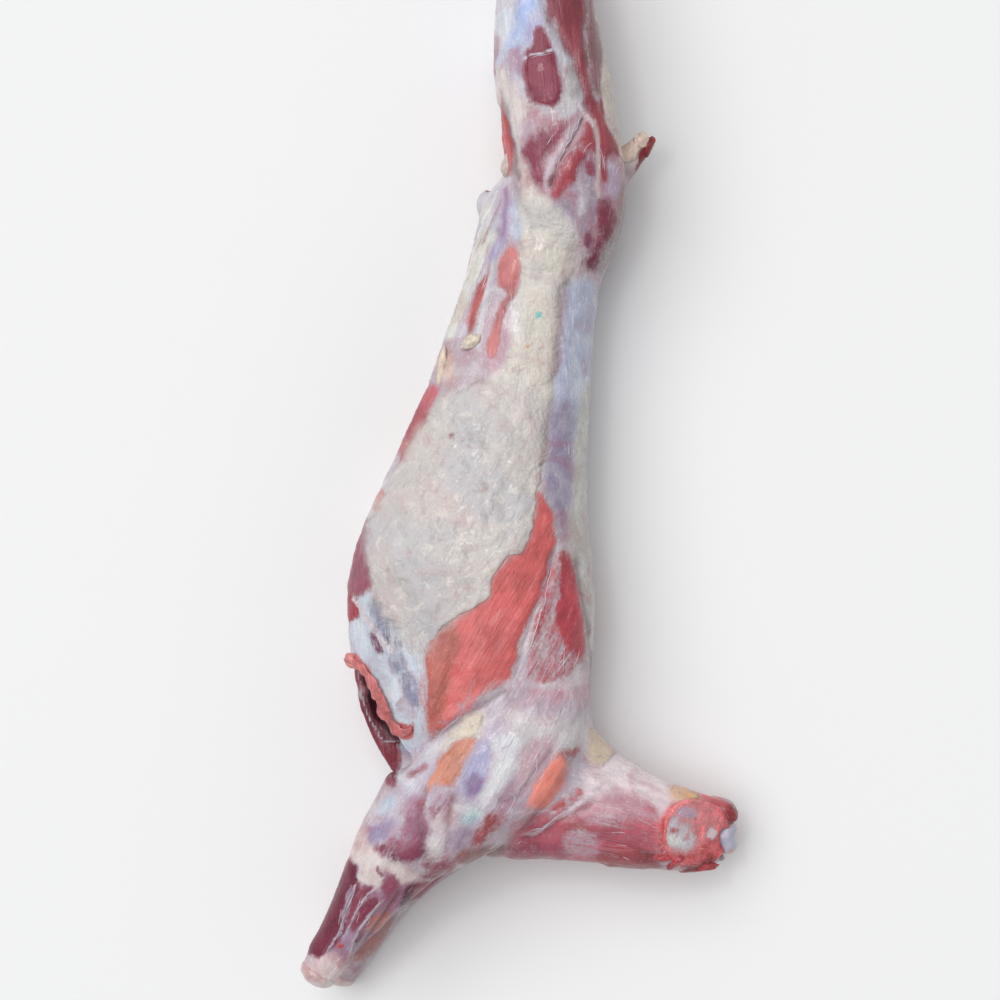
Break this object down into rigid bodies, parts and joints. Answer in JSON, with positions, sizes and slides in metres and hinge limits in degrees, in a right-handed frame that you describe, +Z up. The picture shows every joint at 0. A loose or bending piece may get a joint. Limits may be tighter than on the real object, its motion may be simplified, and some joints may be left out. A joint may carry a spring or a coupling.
{
  "type": "raw whole goat carcass",
  "caption": "Raw whole goat carcass, skinned, headless and drawn, lying on its side: legs off at hocks and knees, belly slit open, a fat sheet over loin and ribs, bone ends bare at the cuts.",
  "frame": {"origin": "middle of the carcass's footprint, on the surface it lies on", "axes": "+Y along the body, from the neck to the hind legs; +X towards the back; +Z up, towards the side that shows"},
  "size_m": [0.5048, 1.3718, 0.1979],
  "materials": {
    "flesh": "wet muscle under white fat and bluish membrane",
    "bone": "moist bone end and gristle"
  },
  "bodies": {
    "root": {"carcass": "flesh", "neck_vertebra": "bone", "upper_fore_knuckle": "bone", "lower_fore_knuckle": "bone", "upper_hind_knuckle": "bone", "lower_hind_knuckle": "bone"}
  },
  "joints": []
}
